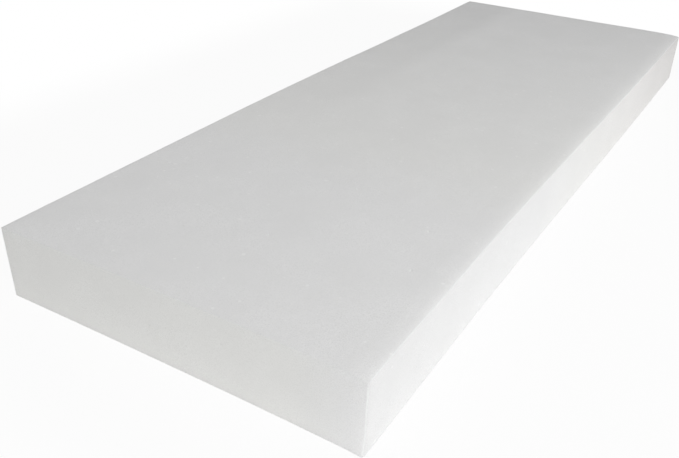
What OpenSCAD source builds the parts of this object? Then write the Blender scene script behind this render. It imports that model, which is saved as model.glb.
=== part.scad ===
// Foam block: one slab of upholstery foam, cut square and lying flat.
// X runs along its length, Y across its width and Z up through its thickness.
// The origin is the middle of the bottom face. All sizes are in millimetres.
//
// The slab is a flat-faced core with a soft edge swept round it. Both follow one plan,
// which bows and hollows a little, as cut foam does once it has settled.

/* [Slab] */
// Length along X, from end to end
slab_l = 1829; // [600:1:2400]
// Width along Y, square across the slab
slab_w = 660; // [300:1:1400]
// Thickness along Z, from the bottom face to the top face
slab_t = 127; // [40:1:300]

/* [Cut edges] */
// Radius of the arrises round the top and bottom faces, where the cells close up after the cut
arris_r = 1; // [0.5:0.5:15]
// Radius of the corners of the flat top and bottom faces, inside the soft edge
face_corner_r = 1; // [0.5:0.5:30]

/* [Set of the foam] */
// Sideways bow of both long sides at mid-length, towards +Y
side_bow = 4.5; // [0:0.5:20]
// Hollow of the end at -X, at mid-width
end_hollow = 2.5; // [0:0.5:20]

/* [Smoothness] */
// Steps round the quarter turn of an arris
arris_steps = 4; // [2:1:8]
// Steps round the quarter turn of an upright corner
corner_steps = 4; // [2:1:8]
// Steps along each bowed long side
side_steps = 16; // [4:2:48]
// Steps across each end
end_steps = 8; // [4:2:32]

/* [Hidden] */

// Off-white of fresh polyurethane foam
foam_colour = [0.93, 0.92, 0.90];

// How far the core stops short of the edge of the flat faces. The soft edge reaches in over it by
// as much again.
lap = face_corner_r / 3;

// An arch over a side: 1 at its middle, where u is 0, and 0 at its ends, where u is -0.5 or 0.5
function arch(u) = 1 - 4 * u * u;

// A point that share of the way from a to b
function between(a, b, share) = a + (b - a) * share;

// Where a point of the square-cut plan lies once the foam has taken its set.
// Half of the bow goes to each side of the X axis, which keeps the slab centred on its origin.
function set_in(p) = [
    p.x + end_hollow * arch(p.y / slab_w) * (0.5 - p.x / slab_l),
    p.y + side_bow * (arch(p.x / slab_l) - 0.5)
];

// Corner k of the square-cut plan as an arc that runs anticlockwise, at a distance out from the
// edge of the flat face. Corner 0 is at +X +Y, and the others follow it anticlockwise.
function corner_arc(k, out) =
    let (
        inside = arris_r + face_corner_r,
        to_x = k == 0 || k == 3 ? 1 : -1,
        to_y = k < 2 ? 1 : -1,
        centre = [to_x * (slab_l / 2 - inside), to_y * (slab_w / 2 - inside)]
    )
    [for (i = [0:corner_steps])
        let (turn = 90 * (k + i / corner_steps))
        centre + (face_corner_r + out) * [cos(turn), sin(turn)]];

// The stations along the straight side that follows corner k, without its two ends, at the same
// distance out
function side_stations(k, out) =
    let (
        from = corner_arc(k, out)[corner_steps],
        to = corner_arc((k + 1) % 4, out)[0],
        steps = k % 2 == 0 ? side_steps : end_steps
    )
    [for (i = [1:steps - 1]) between(from, to, i / steps)];

// The outline of the flat face grown by a distance out, anticlockwise from corner 0.
// Grown by the arris radius, it is the outline of the whole slab.
function plan(out) = [
    for (k = [0:3])
        for (p = concat(corner_arc(k, out), side_stations(k, out)))
            set_in(p)
];

// The soft edge in section: x is how far out of the flat face a point lies, and y is its height.
// It starts on the bottom face, where it laps the core, runs out round the bottom arris, up the
// cut side and in round the top arris, and ends on the top face as far in as it started.
function edge_section() =
    let (turns = [for (i = [0:arris_steps]) 90 * i / arris_steps])
    concat(
        [[-2 * lap, 0]],
        [for (a = turns) arris_r * [sin(a), 1 - cos(a)]],
        [for (a = turns) [0, slab_t] + arris_r * [cos(a), sin(a) - 1]],
        [[-2 * lap, slab_t]]
    );

// The middle of the slab, which ends inside the flat strips of the soft edge
module core() {
    linear_extrude(slab_t)
        polygon(plan(-lap));
}

// The edge section swept round the plan
module soft_edge() {
    section = edge_section();
    loops = [for (s = section) plan(s.x)];
    rows = len(section);
    row = len(loops[0]);
    polyhedron(
        points = [
            for (j = [0:rows - 1])
                for (p = loops[j])
                    [p.x, p.y, section[j].y]
        ],
        faces = [
            for (j = [0:rows - 1])
                for (i = [0:row - 1])
                    let (
                        above = (j + 1) % rows,
                        beside = (i + 1) % row
                    )
                    [j * row + i, above * row + i, above * row + beside, j * row + beside]
        ]
    );
}

module foam_block() {
    color(foam_colour) {
        core();
        soft_edge();
    }
}

foam_block();
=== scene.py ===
"""A foam block: one slab of open-cell polyurethane foam, cut square and lying flat.

Everything is in metres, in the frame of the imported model: X runs along the block, Y across it
and Z up, with the origin in the middle of the bottom face. The hollow end is at -X.
"""

import logging
import math
import random
from dataclasses import dataclass, field
from enum import Enum

import bmesh
import bpy
from mathutils import Euler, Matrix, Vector, noise


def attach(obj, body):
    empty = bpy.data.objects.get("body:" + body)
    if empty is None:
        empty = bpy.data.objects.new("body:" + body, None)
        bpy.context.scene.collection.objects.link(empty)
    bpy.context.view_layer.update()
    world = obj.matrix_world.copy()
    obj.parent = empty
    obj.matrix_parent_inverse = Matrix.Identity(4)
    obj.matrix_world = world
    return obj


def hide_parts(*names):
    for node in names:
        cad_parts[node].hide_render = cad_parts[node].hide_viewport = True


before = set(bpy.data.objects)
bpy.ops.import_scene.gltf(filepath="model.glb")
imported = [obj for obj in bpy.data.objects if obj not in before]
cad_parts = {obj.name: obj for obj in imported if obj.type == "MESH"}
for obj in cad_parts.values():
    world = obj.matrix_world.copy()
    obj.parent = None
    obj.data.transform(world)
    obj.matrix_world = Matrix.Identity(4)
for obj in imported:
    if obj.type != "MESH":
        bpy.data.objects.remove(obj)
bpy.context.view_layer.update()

MM = 0.001
TOLERANCE = 0.01 * MM
# Name of the vertex colour that carries the painted light and shade, and the warmth.
TONE_AND_PAINTED_LIGHT = "tone_and_painted_light"

log = logging.getLogger("foam_block")


class Axis(Enum):
    """The frame's axes, as the index of a coordinate."""

    X = 0
    Y = 1
    Z = 2


def cut_at(bm: bmesh.types.BMesh, axis: Axis, level: float) -> None:
    """Cuts a mesh's faces in two where they cross a plane square to an axis.

    Args:
        bm: The mesh.
        axis: The axis.
        level: Where on the axis the plane lies.
    """
    square = [float(axis.value == k) for k in range(3)]
    bmesh.ops.bisect_plane(
        bm, geom=[*bm.verts, *bm.edges, *bm.faces], dist=TOLERANCE,
        plane_co=[level * part for part in square], plane_no=square,
    )


class NodeSketch:
    """Adds nodes to a node tree and links them."""

    def __init__(self, tree: bpy.types.NodeTree) -> None:
        """Takes a tree and empties it.

        Args:
            tree: The tree to work in.
        """
        self.tree = tree
        tree.nodes.clear()

    def add(self, kind: str, settings: dict | None = None, **inputs: object) -> bpy.types.Node:
        """Adds a node.

        Args:
            kind: The node's type, such as "ShaderNodeMix".
            settings: Properties of the node, by name.
            **inputs: A value or an output socket for inputs, by name with _ for a space.

        Returns:
            The new node.
        """
        node = self.tree.nodes.new(kind)
        for name, value in (settings or {}).items():
            setattr(node, name, value)
        for name, value in inputs.items():
            self.feed(node.inputs[name.replace("_", " ")], value)
        return node

    def feed(self, socket: bpy.types.NodeSocket, value: object) -> None:
        """Gives an input socket its value, or links an output socket to it.

        Args:
            socket: The input socket.
            value: A plain value or an output socket.
        """
        if isinstance(value, bpy.types.NodeSocket):
            self.tree.links.new(value, socket)
        else:
            socket.default_value = value

    def maths(self, operation: str, first: object, second: object) -> bpy.types.NodeSocket:
        """Adds a Math node.

        Args:
            operation: The node's operation.
            first: Its first value or socket.
            second: Its second value or socket.

        Returns:
            The node's output.
        """
        node = self.add("ShaderNodeMath", {"operation": operation})
        self.feed(node.inputs[0], first)
        self.feed(node.inputs[1], second)
        return node.outputs[0]

    def scaled(self, value: object, low: float, high: float, to_low: float, to_high: float,
               smooth: bool = False) -> bpy.types.NodeSocket:
        """Maps one range of numbers onto another, held at its ends.

        Args:
            value: The socket to map.
            low: Where the range starts.
            high: Where the range ends.
            to_low: What low becomes.
            to_high: What high becomes.
            smooth: Whether the change eases in and out.

        Returns:
            The mapped socket.
        """
        node = self.add(
            "ShaderNodeMapRange",
            {"interpolation_type": "SMOOTHSTEP" if smooth else "LINEAR", "clamp": True},
        )
        self.feed(node.inputs["Value"], value)
        for name, number in (
            ("From Min", low), ("From Max", high), ("To Min", to_low), ("To Max", to_high),
        ):
            node.inputs[name].default_value = number
        return node.outputs["Result"]

    def tinted(self, share: object, first: object, second: object) -> bpy.types.NodeSocket:
        """Mixes two colours.

        Args:
            share: How much of the second colour there is.
            first: The first colour or socket.
            second: The second colour or socket.

        Returns:
            The mixed colour.
        """
        node = self.add("ShaderNodeMix", {"data_type": "RGBA", "clamp_factor": True})
        self.feed(node.inputs["Factor"], share)
        self.feed(node.inputs["A"], first)
        self.feed(node.inputs["B"], second)
        return node.outputs["Result"]


@dataclass(frozen=True)
class CellPattern:
    """Cut cells between their struts.

    Attributes:
        per_m: How many cells there are to a metre.
        share: How much this pattern counts where patterns are added up.
        strut_edge: Where a strut ends, out from the wall between two cells.
        floor_edge: Where a cell's floor starts, in the same measure.
    """

    per_m: float
    share: float
    strut_edge: float = 0.04
    floor_edge: float = 0.32

    def draw(self, sketch: NodeSketch, place: bpy.types.NodeSocket) -> bpy.types.NodeSocket:
        """Draws the pattern.

        Args:
            sketch: The material's nodes.
            place: The Object coordinates.

        Returns:
            The pattern's share in the middle of a cell and 0 on a strut.
        """
        walls = sketch.add("ShaderNodeTexVoronoi", {"feature": "DISTANCE_TO_EDGE"},
                           Vector=place, Scale=self.per_m)
        hollow = sketch.scaled(walls.outputs["Distance"], self.strut_edge, self.floor_edge,
                               0.0, 1.0, smooth=True)
        return sketch.maths("MULTIPLY", hollow, self.share)


@dataclass(frozen=True)
class SpotPattern:
    """Scattered round spots: larger cells that the blade has opened, or painted glints where a
    cell's skin catches the light.

    Attributes:
        per_m: How many places for a spot there are to a metre.
        rarity: The share of those places that stay empty.
        widest: The radius of the largest spot, against the step between places.
        strength: How far a spot takes the foam's colour to its own.
        blur: How wide a spot's soft edge is, against the step between places.
    """

    per_m: float
    rarity: float
    widest: float
    strength: float
    blur: float = 0.02

    def draw(self, sketch: NodeSketch, place: bpy.types.NodeSocket) -> bpy.types.NodeSocket:
        """Draws the pattern.

        Args:
            sketch: The material's nodes.
            place: The Object coordinates.

        Returns:
            1 inside a spot and 0 outside.
        """
        spots = sketch.add("ShaderNodeTexVoronoi", {"feature": "F1"},
                           Vector=place, Scale=self.per_m)
        chance = sketch.add("ShaderNodeSeparateColor", Color=spots.outputs["Color"])
        reach = sketch.scaled(chance.outputs[0], self.rarity, 1.0, 0.0, self.widest)
        inside = sketch.maths("SUBTRACT", reach, spots.outputs["Distance"])
        return sketch.scaled(inside, 0.0, self.blur, 0.0, 1.0, smooth=True)


@dataclass(frozen=True)
class FoamFinish:
    """Off-white open-cell foam: pale struts round fine cells, and a soft, light-soaked body.

    Attributes:
        strut: Colour of the struts between cells.
        cell: Colour of a cell's floor, darker than the struts as painted shade in the hollow.
        cast: Colour that the foam drifts towards.
        pit: Colour inside a larger open cell, darker as painted shade in the pit.
        glint: Colour of a painted glint, where a cell's skin catches the light.
        fine: The fine cells.
        coarse: The coarser cells under them.
        pits: The larger open cells.
        glints: The painted glints, on cells whose skin catches the light.
        drift_per_m: How many swings of the slow drift there are to a metre.
        drift_detail: How many finer layers the drift has.
        drift_span: The drift's noise values that count as none and as full.
        drift_strength: How far a full drift takes the colour.
        relief: How deep the cells look.
        relief_strength: How much of that relief shows.
        pit_depth: How deep a larger cell looks, against a usual one.
        roughness: The surface's roughness.
        gloss: The level of its mirror-like reflection.
        soaked: The share of light that enters the foam.
        soak_tint: How far red, green and blue spread in it, against each other.
        soak: How far light spreads in it.
    """

    strut: tuple = (0.972, 0.972, 0.971, 1.0)
    # The cell colour is darker than the strut colour as painted shade in the cell hollows.
    cell: tuple = (0.788, 0.788, 0.785, 1.0)
    cast: tuple = (0.897, 0.897, 0.894, 1.0)
    # Darker colour for painted shade inside the larger open cells.
    pit: tuple = (0.66, 0.655, 0.64, 1.0)
    # Colour of the painted glints, where a cell's skin catches the light.
    glint: tuple = (0.99, 0.99, 0.985, 1.0)
    fine: CellPattern = CellPattern(780.0, 0.75)
    coarse: CellPattern = CellPattern(260.0, 0.25)
    pits: SpotPattern = SpotPattern(36.0, 0.88, 0.06, 0.6)
    # Where the painted glints fall.
    glints: SpotPattern = SpotPattern(60.0, 0.72, 0.22, 0.8)
    drift_per_m: float = 9.0
    drift_detail: float = 4.0
    drift_span: tuple = (0.35, 0.65)
    drift_strength: float = 0.6
    relief: float = 0.35 * MM
    relief_strength: float = 0.6
    pit_depth: float = 1.5
    roughness: float = 0.95
    gloss: float = 0.15
    soaked: float = 0.08
    soak_tint: tuple = (1.0, 0.98, 0.95)
    soak: float = 18 * MM

    def material(self) -> bpy.types.Material:
        """Makes the foam's material.

        Returns:
            The material, on Object coordinates.
        """
        made = bpy.data.materials.new("foam")
        made.use_nodes = True
        sketch = NodeSketch(made.node_tree)
        place = sketch.add("ShaderNodeTexCoord").outputs["Object"]
        hollows = sketch.maths("ADD", self.fine.draw(sketch, place),
                               self.coarse.draw(sketch, place))
        pits = self.pits.draw(sketch, place)
        bump = sketch.add("ShaderNodeBump", Strength=self.relief_strength,
                          Distance=self.relief, Height=self._height(sketch, hollows, pits))
        shader = sketch.add("ShaderNodeBsdfPrincipled",
                            Base_Color=self._colour(sketch, place, hollows, pits),
                            Normal=bump.outputs["Normal"])
        shader.inputs["Roughness"].default_value = self.roughness
        shader.inputs["Specular IOR Level"].default_value = self.gloss
        shader.inputs["Subsurface Weight"].default_value = self.soaked
        shader.inputs["Subsurface Radius"].default_value = self.soak_tint
        shader.inputs["Subsurface Scale"].default_value = self.soak
        sketch.add("ShaderNodeOutputMaterial", Surface=shader.outputs["BSDF"])
        return made

    def _colour(self, sketch: NodeSketch, place: bpy.types.NodeSocket,
                hollows: bpy.types.NodeSocket, pits: bpy.types.NodeSocket) -> bpy.types.NodeSocket:
        """Colours the struts, cells and spots, and multiplies them by the painted light and shade,
        and the warmth, that each vertex carries.

        Args:
            sketch: The material's nodes.
            place: The Object coordinates.
            hollows: The pattern of cut cells.
            pits: The pattern of larger open cells.

        Returns:
            The foam's colour.
        """
        drift = sketch.add("ShaderNodeTexNoise", Vector=place, Scale=self.drift_per_m,
                           Detail=self.drift_detail)
        cast = sketch.scaled(drift.outputs["Fac"], *self.drift_span, 0.0, self.drift_strength)
        pitted = sketch.maths("MULTIPLY", pits, self.pits.strength)
        # Painted glints, where a cell's skin catches the light.
        glinted = sketch.maths("MULTIPLY", self.glints.draw(sketch, place), self.glints.strength)
        # Cell floors take the darker colour: painted shade in the hollows.
        colour = sketch.tinted(hollows, self.strut, self.cell)
        colour = sketch.tinted(cast, colour, self.cast)
        # Painted shade inside the larger open cells.
        colour = sketch.tinted(pitted, colour, self.pit)
        colour = sketch.tinted(glinted, colour, self.glint)
        # Multiplies in the painted light and shade, and the warmth, that each vertex carries.
        tone_and_painted_light = sketch.add("ShaderNodeAttribute", {"attribute_name": TONE_AND_PAINTED_LIGHT})
        toned_and_lit = sketch.add("ShaderNodeVectorMath", {"operation": "MULTIPLY"})
        sketch.feed(toned_and_lit.inputs[0], colour)
        sketch.feed(toned_and_lit.inputs[1], tone_and_painted_light.outputs["Color"])
        return toned_and_lit.outputs["Vector"]

    def _height(self, sketch: NodeSketch, hollows: bpy.types.NodeSocket,
                pits: bpy.types.NodeSocket) -> bpy.types.NodeSocket:
        """Works out the relief, which lies below the cut surface.

        Args:
            sketch: The material's nodes.
            hollows: The pattern of cut cells.
            pits: The pattern of larger open cells.

        Returns:
            The height, 0 on a strut.
        """
        depth = sketch.maths("ADD", hollows, sketch.maths("MULTIPLY", pits, self.pit_depth))
        return sketch.maths("MULTIPLY", depth, -1.0)


@dataclass(frozen=True)
class WhiteGround:
    """A pale studio ground that shows white to the camera and still takes a soft shadow.

    Attributes:
        paint: The ground's own colour.
        white: The white that it shows to the camera.
        glow_share: How much of that white there is in the middle.
        glow_rise: Where the white starts to rise and is full, as shares of the half size.
        half_size: Half of the sheet's length and width.
        window: Half of the length and width of the window under the block.
        drop: How far the sheet lies below the bottom of the block.
    """

    paint: tuple = (0.88, 0.88, 0.88, 1.0)
    white: tuple = (1.0, 1.0, 1.0, 1.0)
    glow_share: float = 0.92
    glow_rise: tuple = (0.7, 0.98)
    half_size: tuple = (1.445, 1.18)
    window: tuple = (0.88, 0.31)
    drop: float = 0.2 * MM

    def material(self) -> bpy.types.Material:
        """Makes the ground's material.

        Returns:
            The material.
        """
        made = bpy.data.materials.new("ground_white")
        made.use_nodes = True
        sketch = NodeSketch(made.node_tree)
        path = sketch.add("ShaderNodeLightPath")
        seen = path.outputs["Is Camera Ray"]
        for ray in ("Is Glossy Ray", "Is Transmission Ray"):
            seen = sketch.maths("MAXIMUM", seen, path.outputs[ray])
        matt = sketch.add("ShaderNodeBsdfDiffuse", Color=self.paint)
        glow = sketch.add("ShaderNodeEmission", Color=self.white, Strength=1.0)
        share = self._glow_share(sketch)
        mixed = sketch.add("ShaderNodeMixShader", Fac=sketch.maths("MULTIPLY", seen, share))
        sketch.feed(mixed.inputs[1], matt.outputs["BSDF"])
        sketch.feed(mixed.inputs[2], glow.outputs["Emission"])
        sketch.add("ShaderNodeOutputMaterial", Surface=mixed.outputs["Shader"])
        return made

    def _glow_share(self, sketch: NodeSketch) -> bpy.types.NodeSocket:
        """Raises the glow to full by the sheet's edges, which then don't show.

        Args:
            sketch: The material's nodes.

        Returns:
            The share of glow.
        """
        place = sketch.add("ShaderNodeTexCoord").outputs["Object"]
        split = sketch.add("ShaderNodeSeparateXYZ", Vector=place)
        shares = []
        for output, half in zip(split.outputs, self.half_size):
            distance = sketch.maths("ABSOLUTE", output, 0.0)
            shares.append(sketch.maths("DIVIDE", distance, half))
        outward = sketch.maths("MAXIMUM", *shares)
        return sketch.scaled(outward, *self.glow_rise, self.glow_share, 1.0, smooth=True)


class Side(Enum):
    """The block's upright sides, as an axis and the side's direction along it."""

    NEAR_END = (Axis.X, -1)
    FAR_END = (Axis.X, 1)
    RIGHT = (Axis.Y, -1)
    LEFT = (Axis.Y, 1)


@dataclass(frozen=True)
class RollOff:
    """How the foam gives way towards one of its upright sides.

    Attributes:
        side: The side.
        depth: How far the foam gives way at the side.
        reach: How far in from the side that has fallen to about a third.
        wander: By how much the depth varies along the side, as a share of it.
        wanders_per_m: How many such changes there are to a metre.
    """

    side: Side
    depth: float
    reach: float
    wander: float = 0.0
    wanders_per_m: float = 7.0

    def give(self, place: Vector, half: tuple) -> float:
        """Says how far the foam gives way at a place.

        Args:
            place: The place.
            half: Half of the block's length and width.

        Returns:
            The distance that it gives, in metres.
        """
        axis, way = self.side.value
        inward = half[axis.value] - way * place[axis.value]
        change = 1.0 + self.wander * noise.noise(place * self.wanders_per_m)
        return self.depth * change * math.exp(-max(inward, 0.0) / self.reach)


def ramp(value: float, low: float, high: float) -> float:
    """Gives 0 below the low value and 1 above the high one, with an even rise between."""
    return min(max((value - low) / (high - low), 0.0), 1.0)


@dataclass(frozen=True)
class Fade:
    """A change that is full at an edge and dies away from it.

    Attributes:
        amount: The change at the edge.
        reach: The distance over which it falls to about a third.
    """

    amount: float
    reach: float

    def at(self, distance: float, stretch: float = 1.0) -> float:
        """Gives the change at a distance from the edge, with its reach stretched."""
        return self.amount * math.exp(-distance / (self.reach * stretch))


@dataclass(frozen=True)
class BlankPlace:
    """A place on the square-cut block, with its distances from the faces.

    Attributes:
        point: The place itself.
        half_length: Half of the block's length.
        half_width: Half of the block's width.
        height: The block's thickness.
    """

    point: Vector
    half_length: float
    half_width: float
    height: float

    @property
    def from_top(self) -> float:
        """Gives the distance down from the top face."""
        return self.height - self.point.z

    @property
    def from_near_end(self) -> float:
        """Gives the distance from the near end."""
        return self.half_length + self.point.x

    @property
    def from_right(self) -> float:
        """Gives the distance from the right side."""
        return self.half_width + self.point.y

    @property
    def from_sides(self) -> tuple:
        """Gives the distances from the nearer end and from the nearer long side."""
        return self.half_length - abs(self.point.x), self.half_width - abs(self.point.y)


@dataclass(frozen=True)
class FoamToneAndPaintedLight:
    """Painted light and shade on the foam, with its warmth and its slow, random unevenness, from
    place to place, against its own colour.

    Every amount is a share of that colour. A place along the block is an X coordinate.

    Attributes:
        face_depth: How near the plane of the top or the near end a place counts as on it.
        side_depth: How near the plane of the right side a place counts as on it.
        far_part: Where the far part of the block starts. It grows evenly to the far end.
        arris: The painted shade in a line along each arris.
        corner: The painted shade in a line along each upright corner.
        corner_on_end: The share of that line on the near end.
        rim: The painted shade in a rim on the top's far and left edges, which face away from the
            light, and a painted contact shadow on the near end's foot.
        rim_spread: How much wider the rim is at the far end.
        right_glow: The painted light in a band on the top along the lit right side.
        right_slant: How much stronger that band is at the far end.
        near_shade: The shade on the near half of the top.
        cross_tilt: The painted light that rises across the top, from right to left.
        strip: The painted shadow in a strip on the far left of the top.
        strip_span: Where across the top the strip starts and is full.
        strip_growth: The power of the far part by which the strip grows.
        top_warmth: The warmth on the middle of the top.
        top_warmth_span: Where along the block that warmth starts and is full.
        end_glow: The painted light in a band on the near end along the lit right side.
        end_glow_head: How far below the top that band is full.
        foot_glow: The painted light of the ground's bounce on the near end's foot.
        end_warmth: The warmth of the near end.
        end_warmth_span: The distances from the right side at which it starts and is full.
        side_head: The painted shade on the head of the right side, growing towards the top.
        far_head: The painted shade in a line at the far end of that head.
        far_head_start: Where along the block that line starts.
        side_warmth: The warmth of the far part of the right side.
        side_warmth_span: Where along the block that warmth starts and is full.
        blush: The trace of pink on the far part of the right side.
        blush_span: Where along the block that pink starts and is full.
        blush_red: The share of the pink that is more red. The rest is less green.
        mottle: The slow, random unevenness of the foam's own lightness.
        mottles_per_m: How many swings of it there are to a metre.
        mottle_layers: How much finer and how strong each of its layers is.
    """

    face_depth: float = 0.4 * MM
    side_depth: float = 1 * MM
    far_part: float = -0.3
    # Painted shade along each arris.
    arris: Fade = Fade(-0.078, 1.2 * MM)
    # Painted shade along each upright corner.
    corner: Fade = Fade(-0.095, 4 * MM)
    corner_on_end: float = 0.4
    # Painted shade on the top's far and left edges, and painted contact shadow at the near end's
    # foot.
    rim: Fade = Fade(-0.06, 3.5 * MM)
    rim_spread: float = 1.5
    # Painted light on the top next to the lit right side.
    right_glow: Fade = Fade(0.092, 14 * MM)
    right_slant: float = 0.45
    near_shade: Fade = Fade(-0.018, 250 * MM)
    # Painted light that rises across the top.
    cross_tilt: float = 0.010
    # Painted shadow in a strip on the far left of the top.
    strip: float = -0.07
    strip_span: tuple = (0.15, 0.21)
    strip_growth: float = 0.7
    top_warmth: float = 0.012
    top_warmth_span: tuple = (-0.5, -0.3)
    # Painted light on the near end next to the lit right side.
    end_glow: Fade = Fade(0.090, 14 * MM)
    end_glow_head: float = 40 * MM
    # Painted bounce light on the near end's foot.
    foot_glow: Fade = Fade(0.022, 40 * MM)
    end_warmth: float = 0.02
    end_warmth_span: tuple = (20 * MM, 120 * MM)
    # Painted shade on the head of the right side.
    side_head: float = -0.022
    far_head: Fade = Fade(-0.08, 20 * MM)
    far_head_start: float = 0.55
    side_warmth: float = 0.012
    side_warmth_span: tuple = (-0.25, 0.0)
    blush: float = 0.013
    blush_span: tuple = (0.0, 0.5)
    blush_red: float = 0.6
    mottle: float = 0.010
    mottles_per_m: float = 14.0
    mottle_layers: tuple = ((1.0, 1.0), (3.0, 0.5))

    def at(self, place: BlankPlace) -> tuple:
        """Says how much painted light or shade, and how much warmth and pink, the foam has at a
        place.

        Args:
            place: The place.

        Returns:
            Red, green, blue and alpha, as multiples of the foam's own colour.
        """
        light, warmth, blush = 0.0, 0.0, 0.0
        on_end = place.from_near_end < self.face_depth
        if place.from_top < self.face_depth:
            light, warmth = self._top(place)
        elif on_end:
            light, warmth = self._near_end(place)
        elif place.from_right < self.side_depth:
            light, warmth, blush = self._right_side(place)
        # Painted shade along the upright corners.
        corner = self.corner.at(max(place.from_sides))
        # Painted shade along the arrises.
        arris = self.arris.at(max(min(place.from_sides), min(place.from_top, place.point.z)))
        light += 1.0 + arris + corner * (self.corner_on_end if on_end else 1.0)
        for finer, strength in self.mottle_layers:
            swing = noise.noise(place.point * finer * self.mottles_per_m)
            light += strength * self.mottle * swing
        red = 1.0 + self.blush_red * blush
        green = 1.0 - (1.0 - self.blush_red) * blush
        return (light * red, light * green, light * (green - warmth), 1.0)

    def _top(self, place: BlankPlace) -> tuple:
        """Works out the painted light and shade, and the warmth, that are the top's alone.

        Args:
            place: A place on the top face.

        Returns:
            The change in light, and the warmth.
        """
        x, y = place.point.x, place.point.y
        far = ramp(x, self.far_part, place.half_length)
        slant = 1.0 + self.right_slant * x / place.half_length
        # Painted light along the right side, stronger towards the far end.
        light = self.right_glow.at(place.from_right, 1.0 + far) * slant
        if x < 0.0:
            light += self.near_shade.at(place.from_sides[0])
        from_back = min(place.half_length - x, place.half_width - y)
        # Painted shade along the top's far and left edges, wider towards the far end.
        light += self.rim.at(from_back, 1.0 + self.rim_spread * far)
        # Painted light rising across the top towards the left.
        light += self.cross_tilt * y / place.half_width * (1.0 - far)
        # Painted shadow in a strip on the far left of the top, growing towards the far end.
        light += self.strip * far ** self.strip_growth * ramp(y, *self.strip_span)
        return light, self.top_warmth * ramp(x, *self.top_warmth_span) * (1.0 - far)

    def _near_end(self, place: BlankPlace) -> tuple:
        """Works out the painted light and shade, and the warmth, that are the near end's alone.

        Args:
            place: A place on the near end.

        Returns:
            The change in light, and the warmth.
        """
        # Painted light along the right side, fading in below the top.
        light = self.end_glow.at(place.from_right) * ramp(place.from_top, 0.0, self.end_glow_head)
        # Painted bounce light on the foot, and painted contact shadow along it.
        light += self.foot_glow.at(place.point.z) + self.rim.at(place.point.z)
        return light, self.end_warmth * ramp(place.from_right, *self.end_warmth_span)

    def _right_side(self, place: BlankPlace) -> tuple:
        """Works out the painted light and shade, the warmth and the pink that are the right side's
        alone.

        Args:
            place: A place on the right side.

        Returns:
            The change in light, the warmth, and the trace of pink.
        """
        x = place.point.x
        # Painted shade towards the top of the right side, and in a line under the top at the far
        # end.
        light = self.side_head * (place.point.z / place.height) ** 2
        light += self.far_head.at(place.from_top) * ramp(
            x, self.far_head_start, place.half_length)
        return (light, self.side_warmth * ramp(x, *self.side_warmth_span),
                self.blush * ramp(x, *self.blush_span))


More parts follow.
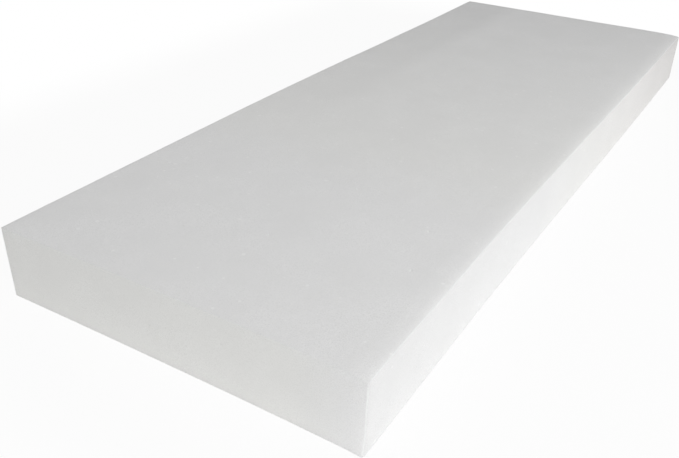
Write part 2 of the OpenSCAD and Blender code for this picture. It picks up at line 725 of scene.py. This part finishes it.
@dataclass
class FoamBlock:
    """The foam block itself. Its sizes are in metres.

    Attributes:
        length: Length from end to end.
        width: Width, square across.
        thickness: Thickness.
        arris_radius: Radius of the arrises round the top and bottom faces.
        corner_radius: Radius of the upright corners.
        side_bow: How far both long sides bow towards +Y.
        end_hollow: How far the near end is hollow.
        patch: Size of the patches that the faces are divided into.
        round_steps: Steps round an arris or a corner.
        sharp: The angle past which an edge is an arris or a corner.
        top_roll: How the top gives way towards its arrises.
        corner_roll: How the near end gives way towards the right side.
        corner_depth: How far from the near end that has fallen to about a third.
        right_waves: How far the right side stands out in one half-wave, two and so on.
        left_waves: The same for the left side.
        left_lean: How far the near left corner leans out at its head.
        spur: How far the foot of the near right corner stands out.
        spur_reach: How far from that foot the spur has fallen to about a third.
        unevenness: How uneven the faces are.
        uneven_per_m: How many such swings there are to a metre.
        nibble: How frayed the arrises are.
        nibbles_per_m: How many nicks there are to a metre.
        pore_count: How many larger cells are open.
        pore_width: The range of their widths.
        pore_steps: How a pore narrows and deepens, step by step, against its width.
        seed: The seed of everything that is drawn at random.
        tone_and_painted_light: The painted light and shade, the warmth and the slow unevenness of
            the foam, from place to place.
        finish: The foam's finish.
    """

    length: float = 1829 * MM
    width: float = 660 * MM
    thickness: float = 127 * MM
    arris_radius: float = 1 * MM
    corner_radius: float = 2 * MM
    side_bow: float = 4.5 * MM
    end_hollow: float = 2.5 * MM
    patch: float = 7 * MM
    round_steps: int = 4
    sharp: float = math.radians(60)
    top_roll: tuple = (
        RollOff(Side.RIGHT, 3.6 * MM, 22 * MM, 0.5),
        RollOff(Side.RIGHT, 0.5 * MM, 2.2 * MM),
        RollOff(Side.LEFT, 0.5 * MM, 25 * MM),
        RollOff(Side.NEAR_END, 0.3 * MM, 20 * MM),
        RollOff(Side.FAR_END, 0.8 * MM, 25 * MM),
    )
    corner_roll: RollOff = RollOff(Side.RIGHT, 1.2 * MM, 14 * MM)
    corner_depth: float = 60 * MM
    right_waves: tuple = (1.6 * MM, -2.5 * MM)
    left_waves: tuple = (1.9 * MM, 2.6 * MM, -1.5 * MM)
    left_lean: float = 3.4 * MM
    spur: tuple = (-3.0 * MM, 1.2 * MM, 0.0)
    spur_reach: float = 16 * MM
    unevenness: float = 0.3 * MM
    uneven_per_m: float = 8.0
    nibble: float = 0.2 * MM
    nibbles_per_m: float = 70.0
    pore_count: int = 70
    pore_width: tuple = (2.0 * MM, 3.4 * MM)
    pore_steps: tuple = ((0.12, 0.30), (0.18, 0.12))
    seed: int = 7
    tone_and_painted_light: FoamToneAndPaintedLight = field(default_factory=FoamToneAndPaintedLight)
    finish: FoamFinish = field(default_factory=FoamFinish)

    def build(self) -> bpy.types.Object:
        """Cuts the block, eases its edges, opens its pores, lets it settle and dresses it.

        Returns:
            The block's object.
        """
        noise.seed_set(self.seed)
        bm = bmesh.new()
        self._cut_blank(bm)
        self._divide(bm)
        self._ease_edges(bm)
        self._open_pores(bm)
        self._paint_tone_and_light(bm)
        self._nibble_arrises(bm)
        self._settle(bm)
        bmesh.ops.recalc_face_normals(bm, faces=bm.faces)
        mesh = bpy.data.meshes.new("foam_block_skin")
        bm.to_mesh(mesh)
        bm.free()
        self._dress(mesh)
        piece = bpy.data.objects.new("foam_block_skin", mesh)
        bpy.context.scene.collection.objects.link(piece)
        return piece

    def _dress(self, mesh: bpy.types.Mesh) -> None:
        """Shades the skin smooth and gives it the foam's finish."""
        mesh.shade_smooth()
        mesh.materials.append(self.finish.material())

    def _cut_blank(self, bm: bmesh.types.BMesh) -> None:
        """Makes the square-cut blank, which stands on the ground.

        Args:
            bm: The empty mesh.
        """
        bmesh.ops.create_cube(bm, size=1.0)
        bmesh.ops.scale(bm, vec=(self.length, self.width, self.thickness), verts=bm.verts)
        bmesh.ops.translate(bm, vec=(0.0, 0.0, self.thickness / 2), verts=bm.verts)

    def _divide(self, bm: bmesh.types.BMesh) -> None:
        """Divides the blank's faces into nearly square patches, halved next to the face edges.

        Args:
            bm: The blank.
        """
        spans = (
            (Axis.X, -self.length / 2, self.length / 2),
            (Axis.Y, -self.width / 2, self.width / 2),
            (Axis.Z, 0.0, self.thickness),
        )
        for axis, low, high in spans:
            along = [
                edge for edge in bm.edges
                if abs(edge.verts[0].co[axis.value] - edge.verts[1].co[axis.value]) > self.patch
            ]
            cuts = round((high - low) / self.patch) - 1
            bmesh.ops.subdivide_edges(bm, edges=along, cuts=cuts, use_grid_fill=True)
        for axis, low, high in spans:
            for level in (low + self.patch / 2, high - self.patch / 2):
                cut_at(bm, axis, level)

    def _gaps(self, place: Vector) -> list:
        """Lists the distances from a place to the blank's faces, the nearest first.

        Args:
            place: The place.

        Returns:
            The distances. The second of them is the distance to the nearest arris.
        """
        return sorted((
            self.length / 2 - abs(place.x), self.width / 2 - abs(place.y),
            self.thickness - place.z, place.z,
        ))

    def _is_open_patch(self, face: bmesh.types.BMFace) -> bool:
        """Says whether a patch is clear of the arrises and off the bottom face.

        Args:
            face: The patch.

        Returns:
            Whether a pore may open in it.
        """
        middle = face.calc_center_median()
        return self._gaps(middle)[1] > 2 * self.patch and middle.z > self.patch

    def _open_pores(self, bm: bmesh.types.BMesh) -> None:
        """Opens a few larger cells, each a small round pit inside one patch.

        Args:
            bm: The divided blank.
        """
        draw = random.Random(self.seed)
        patches = [face for face in bm.faces if self._is_open_patch(face)]
        for patch in draw.sample(patches, self.pore_count):
            width = draw.uniform(*self.pore_width)
            bmesh.ops.inset_individual(bm, faces=[patch], thickness=(self.patch - width) / 2)
            for edge in list(patch.edges):
                bmesh.utils.edge_split(edge, edge.verts[0], 0.5)
            middle = patch.calc_center_median()
            for vert in patch.verts:
                vert.co = middle + (vert.co - middle).normalized() * width / 2
            for narrowing, deepening in self.pore_steps:
                bmesh.ops.inset_individual(bm, faces=[patch], thickness=narrowing * width,
                                           depth=-deepening * width)

    def _ease_edges(self, bm: bmesh.types.BMesh) -> None:
        """Rounds the upright corners, and then the arrises of the top and bottom faces.

        Args:
            bm: The divided blank.
        """
        for radius, upright in ((self.corner_radius, True), (self.arris_radius, False)):
            sharp = [
                edge for edge in bm.edges
                if edge.calc_face_angle(0.0) > self.sharp
                and (abs(edge.verts[0].co.z - edge.verts[1].co.z) > MM) == upright
            ]
            bmesh.ops.bevel(
                bm, geom=sharp, offset=radius, offset_type="OFFSET", segments=self.round_steps,
                profile=0.5, affect="EDGES", material=-1, clamp_overlap=False,
            )

    def _arch(self, share: float) -> float:
        """Gives 1 in the middle of a side, where share is 0, and 0 at its ends, at -0.5 and 0.5."""
        return 1.0 - 4.0 * share * share

    def _paint_tone_and_light(self, bm: bmesh.types.BMesh) -> None:
        """Notes the painted light and shade, and the warmth, at each vertex, for its finish to use.

        Args:
            bm: The square-cut block with its eased edges.
        """
        layer = bm.verts.layers.float_color.new(TONE_AND_PAINTED_LIGHT)
        for vert in bm.verts:
            place = BlankPlace(vert.co, self.length / 2, self.width / 2, self.thickness)
            # Paints light and shade, and warmth, into each vertex's colour.
            vert[layer] = self.tone_and_painted_light.at(place)

    def _waves(self, amounts: tuple, share: float) -> float:
        """Adds up waves along a side that all die out at its ends.

        Args:
            amounts: How much there is of one half-wave, two half-waves and so on.
            share: How far along the side, from 0 to 1.

        Returns:
            The distance that the side stands out.
        """
        return sum(
            amount * math.sin(math.pi * (count + 1) * share)
            for count, amount in enumerate(amounts)
        )

    def _settle(self, bm: bmesh.types.BMesh) -> None:
        """Gives the block the slight bow, hollow, lean, spur and roll-off of settled foam.

        Args:
            bm: The block with its eased edges.
        """
        half = (self.length / 2, self.width / 2)
        near_foot = Vector((-half[0], -half[1], 0.0))
        for vert in bm.verts:
            square = vert.co.copy()
            along, across = square.x / self.length, square.y / self.width
            up = square.z / self.thickness
            vert.co.x += self.end_hollow * self._arch(across) * (0.5 - along)
            from_near_end = square.x + half[0]
            vert.co.x += self.corner_roll.give(square, half) * math.exp(
                -from_near_end / self.corner_depth)
            vert.co.y += self.side_bow * (self._arch(along) - 0.5)
            vert.co.y -= self._waves(self.right_waves, along + 0.5) * (0.5 - across)
            vert.co.y += self._waves(self.left_waves, along + 0.5) * (0.5 + across)
            vert.co.y += self.left_lean * (up - 0.5) * (0.5 + across) * (0.5 - along)
            vert.co.z -= sum(roll.give(square, half) for roll in self.top_roll) * up
            from_foot = (square - near_foot).length
            vert.co += Vector(self.spur) * math.exp(-from_foot / self.spur_reach)
            uneven = noise.noise_vector(square * self.uneven_per_m) * self.unevenness
            vert.co += Vector((uneven.x, uneven.y, uneven.z * up))

    def _nibble_arrises(self, bm: bmesh.types.BMesh) -> None:
        """Frays the arrises a little, as a blade leaves them.

        Args:
            bm: The block with its eased edges.
        """
        for vert in bm.verts:
            share = max(0.0, 1.0 - self._gaps(vert.co)[1] / self.patch)
            fray = noise.noise_vector(vert.co * self.nibbles_per_m) * self.nibble * share
            vert.co += Vector((fray.x, fray.y, fray.z * vert.co.z / self.thickness))


@dataclass(frozen=True)
class SoftBox:
    """A soft rectangular lamp that faces the block.

    Attributes:
        name: The lamp's name.
        place: Where it hangs, in metres.
        size: Its width and height, in metres.
        power: Its power in watts.
        target: The place that it faces.
    """

    name: str
    place: tuple
    size: tuple
    power: float
    target: tuple = (0.0, 0.0, 0.06)

    def hang(self) -> None:
        """Hangs the lamp in the scene."""
        lamp = bpy.data.lights.new(self.name, "AREA")
        lamp.shape = "RECTANGLE"
        lamp.size, lamp.size_y = self.size
        lamp.energy = self.power
        holder = bpy.data.objects.new(self.name, lamp)
        holder.location = self.place
        facing = Vector(self.target) - Vector(self.place)
        holder.rotation_euler = facing.to_track_quat("-Z", "Y").to_euler()
        bpy.context.scene.collection.objects.link(holder)


@dataclass
class Studio:
    """The ground, the lights and the camera.

    Attributes:
        ground: The ground that the block lies on.
        sky: The strength of the even light from all round.
        soft_boxes: The lamps.
        camera_place: Where the camera stands, in metres.
        camera_turn: How the camera is turned about X, Y and Z, in degrees.
        lens: The camera's focal length in millimetres.
        sensor: The width of its sensor in millimetres.
    """

    ground: WhiteGround = field(default_factory=WhiteGround)
    sky: float = 0.300
    soft_boxes: tuple = (
        SoftBox("key", (-2.69, -2.53, 2.57), (1.7, 2.3), 103.2),
        SoftBox("side_fill", (0.25, -1.53, 0.52), (1.5, 1.15), 4.9),
        SoftBox("back_fill", (1.70, 2.70, 0.55), (2.4, 0.8), 34.0),
    )
    camera_place: tuple = (-1.5752, -0.6744, 0.7550)
    camera_turn: tuple = (60.463, -1.670, -58.527)
    lens: float = 42.3873
    sensor: float = 36.0

    def build(self) -> None:
        """Sets up the ground, the sky, the lamps and the camera."""
        self._ground()
        self._sky()
        for soft_box in self.soft_boxes:
            soft_box.hang()
        self._camera()
        bpy.context.scene.view_settings.view_transform = "Standard"

    def _ground(self) -> None:
        """Lays the ground, a white sheet with a window under the block that shows its underside."""
        bm = bmesh.new()
        bmesh.ops.create_grid(bm, x_segments=1, y_segments=1, size=1.0)
        bmesh.ops.scale(bm, vec=(*self.ground.half_size, 1.0), verts=bm.verts)
        for axis, reach in zip((Axis.X, Axis.Y), self.ground.window):
            for level in (-reach, reach):
                cut_at(bm, axis, level)
        under = [face for face in bm.faces if face.calc_center_median().length < MM]
        bmesh.ops.delete(bm, geom=under, context="FACES")
        bmesh.ops.translate(bm, vec=(0.0, 0.0, -self.ground.drop), verts=bm.verts)
        mesh = bpy.data.meshes.new("ground")
        bm.to_mesh(mesh)
        bm.free()
        mesh.materials.append(self.ground.material())
        ground = bpy.data.objects.new("ground", mesh)
        bpy.context.scene.collection.objects.link(ground)

    def _sky(self) -> None:
        """Fills the space with even light, which the camera sees as white."""
        world = bpy.data.worlds.new("sky")
        world.use_nodes = True
        bpy.context.scene.world = world
        sketch = NodeSketch(world.node_tree)
        path = sketch.add("ShaderNodeLightPath")
        strength = sketch.scaled(path.outputs["Is Camera Ray"], 0.0, 1.0, self.sky, 1.0)
        light = sketch.add("ShaderNodeBackground", Color=(1.0, 1.0, 1.0, 1.0), Strength=strength)
        sketch.add("ShaderNodeOutputWorld", Surface=light.outputs["Background"])

    def _camera(self) -> None:
        """Sets up the camera."""
        data = bpy.data.cameras.new("camera")
        data.sensor_width = self.sensor
        data.lens = self.lens
        camera = bpy.data.objects.new("camera", data)
        camera.location = self.camera_place
        camera.rotation_euler = Euler([math.radians(turn) for turn in self.camera_turn])
        bpy.context.scene.collection.objects.link(camera)
        bpy.context.scene.camera = camera


def main() -> None:
    """Builds the studio and the block."""
    logging.basicConfig(level=logging.INFO, format="%(name)s: %(message)s")
    Studio().build()
    block = FoamBlock().build()
    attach(block, "root")
    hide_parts("foam_block")
    log.info("%s: %d faces", block.name, len(block.data.polygons))


if __name__ == "__main__":
    main()
